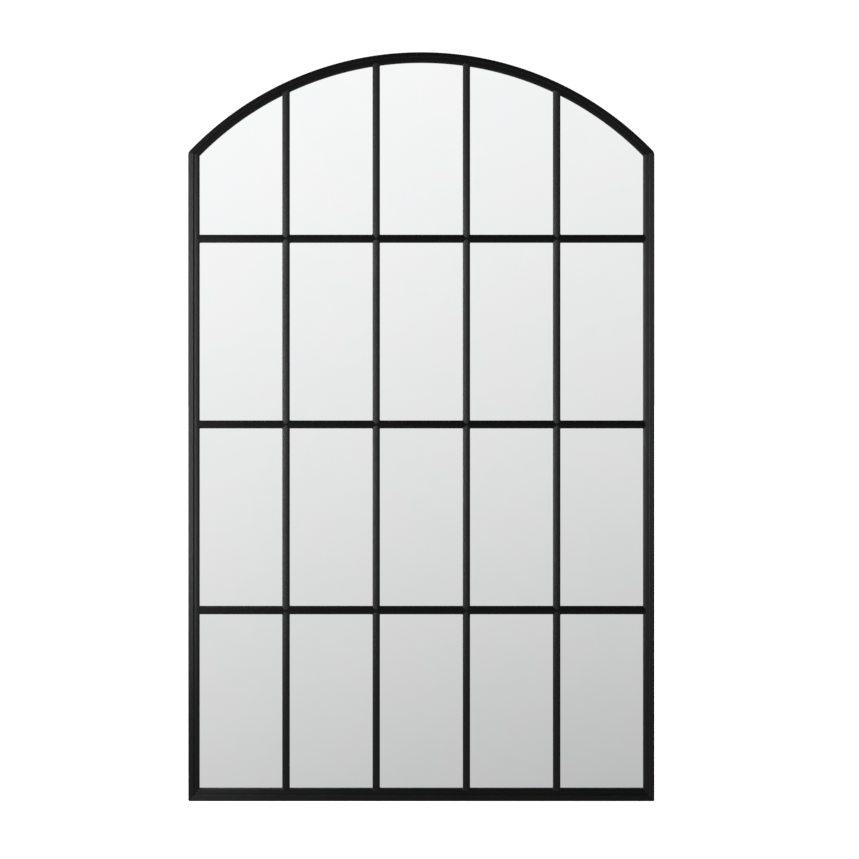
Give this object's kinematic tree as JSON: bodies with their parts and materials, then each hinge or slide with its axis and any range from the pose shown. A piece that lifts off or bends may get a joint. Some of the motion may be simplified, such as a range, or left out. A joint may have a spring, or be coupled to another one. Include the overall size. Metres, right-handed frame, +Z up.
{
  "type": "arched window mirror",
  "caption": "Arched wall mirror like a steel window: mitred black metal frame with a segmental top, round-nosed glazing bars over separate mirror panes, hung by D-rings at the back.",
  "frame": {"origin": "middle of the bottom edge, halfway through the depth between the front of the frame's rim and the wall faces of the bumpers", "axes": "+X to the right as seen from the front, +Y from the front towards the wall, +Z up; the mirror faces -Y"},
  "size_m": [0.996, 0.035, 1.6],
  "materials": {
    "black_coat": "satin black powder coat with a fine orange-peel texture",
    "mirror_glass": "back-silvered float glass, flat polished edges",
    "hardboard": "plain tempered hardboard",
    "foam_tape": "white double-sided foam tape",
    "zinc": "bright zinc plate",
    "bumper_rubber": "moulded dark rubber"
  },
  "bodies": {
    "mirror": {"arch_top": "black_coat", "backing_board": "hardboard", "board_clips": "zinc", "bottom_rail": "black_coat", "clip_screws": "zinc", "glazing_bar_h1": "black_coat", "glazing_bar_h2": "black_coat", "glazing_bar_h3": "black_coat", "glazing_bar_v1": "black_coat", "glazing_bar_v2": "black_coat", "glazing_bar_v3": "black_coat", "glazing_bar_v4": "black_coat", "hanger_screws": "zinc", "hanger_strap_left": "zinc", "hanger_strap_right": "zinc", "mirror_r1c1": "mirror_glass", "mirror_r1c2": "mirror_glass", "mirror_r1c3": "mirror_glass", "mirror_r1c4": "mirror_glass", "mirror_r1c5": "mirror_glass", "mirror_r2c1": "mirror_glass", "mirror_r2c2": "mirror_glass", "mirror_r2c3": "mirror_glass", "mirror_r2c4": "mirror_glass", "mirror_r2c5": "mirror_glass", "mirror_r3c1": "mirror_glass", "mirror_r3c2": "mirror_glass", "mirror_r3c3": "mirror_glass", "mirror_r3c4": "mirror_glass", "mirror_r3c5": "mirror_glass", "mirror_r4c1": "mirror_glass", "mirror_r4c2": "mirror_glass", "mirror_r4c3": "mirror_glass", "mirror_r4c4": "mirror_glass", "mirror_r4c5": "mirror_glass", "mounting_tape": "foam_tape", "stile_left": "black_coat", "stile_right": "black_coat", "wall_bumper_lower_left": "bumper_rubber", "wall_bumper_lower_right": "bumper_rubber", "wall_bumper_upper_left": "bumper_rubber", "wall_bumper_upper_right": "bumper_rubber"},
    "ring_left": {"d_ring_left": "zinc"},
    "ring_right": {"d_ring_right": "zinc"}
  },
  "joints": [
    {"name": "ring_left_swing", "type": "hinge", "parent": "mirror", "child": "ring_left", "pos_m": [-0.488, 0.01245, 1.29], "axis": [1, 0, 0], "range_deg": [0, 174]},
    {"name": "ring_right_swing", "type": "hinge", "parent": "mirror", "child": "ring_right", "pos_m": [0.488, 0.01245, 1.29], "axis": [1, 0, 0], "range_deg": [0, 174]}
  ]
}
